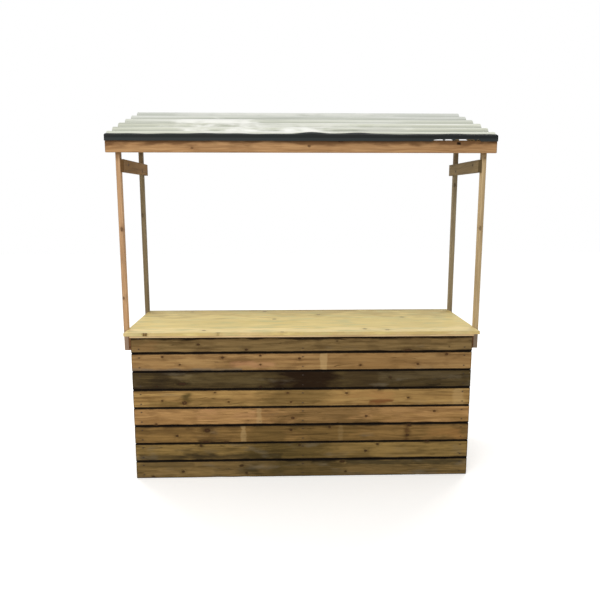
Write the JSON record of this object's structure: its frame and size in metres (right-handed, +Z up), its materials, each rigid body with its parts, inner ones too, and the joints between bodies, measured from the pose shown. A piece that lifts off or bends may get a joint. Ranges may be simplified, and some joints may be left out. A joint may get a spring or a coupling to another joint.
{
  "type": "market stall",
  "caption": "Open-frame wooden market stall: a counter clad in reclaimed boards, slim canopy posts and a corrugated lean-to roof over the counter.",
  "frame": {"origin": "centre of the stall's plan, at floor level", "axes": "+Z up, -Y towards the customers' side, +X to the right as the customers see it"},
  "size_m": [2.205, 0.8734, 2.2288],
  "materials": {
    "reclaimed_board": "weathered sawn softwood, bare",
    "frame_timber": "sawn softwood, bare",
    "countertop_panel": "smooth pale softwood panel, bare",
    "canopy_batten": "sawn softwood batten, bare",
    "roof_sheet": "galvanised, dull with bright bands",
    "eaves_flashing": "black, matt"
  },
  "bodies": {
    "root": {"front_board_1": "reclaimed_board", "front_board_2": "reclaimed_board", "front_board_3": "reclaimed_board", "front_board_4": "reclaimed_board", "front_board_5": "reclaimed_board", "front_board_6": "reclaimed_board", "front_board_7": "reclaimed_board", "front_board_8": "reclaimed_board", "side_cladding_left": "reclaimed_board", "side_cladding_right": "reclaimed_board", "base_leg_front_left": "frame_timber", "base_leg_front_right": "frame_timber", "base_leg_rear_left": "frame_timber", "base_leg_rear_right": "frame_timber", "base_rail_bottom_front": "frame_timber", "base_rail_bottom_rear": "frame_timber", "base_rail_bottom_left": "frame_timber", "base_rail_bottom_right": "frame_timber", "base_rail_top_front": "frame_timber", "base_rail_top_rear": "frame_timber", "base_rail_top_left": "frame_timber", "base_rail_top_right": "frame_timber", "base_stud_front": "frame_timber", "counter_bearer": "frame_timber", "counter_rail_left": "frame_timber", "counter_rail_right": "frame_timber", "countertop": "countertop_panel", "counter_nosing": "countertop_panel", "canopy_post_front_left": "canopy_batten", "canopy_post_front_right": "canopy_batten", "canopy_post_rear_left": "canopy_batten", "canopy_post_rear_right": "canopy_batten", "canopy_side_rail_left": "canopy_batten", "canopy_side_rail_right": "canopy_batten", "fascia": "canopy_batten", "rear_header": "canopy_batten", "rafter_left": "canopy_batten", "rafter_centre": "canopy_batten", "rafter_right": "canopy_batten", "roof_sheet_front": "roof_sheet", "roof_sheet_rear": "roof_sheet", "eaves_flashing": "eaves_flashing"}
  },
  "joints": []
}
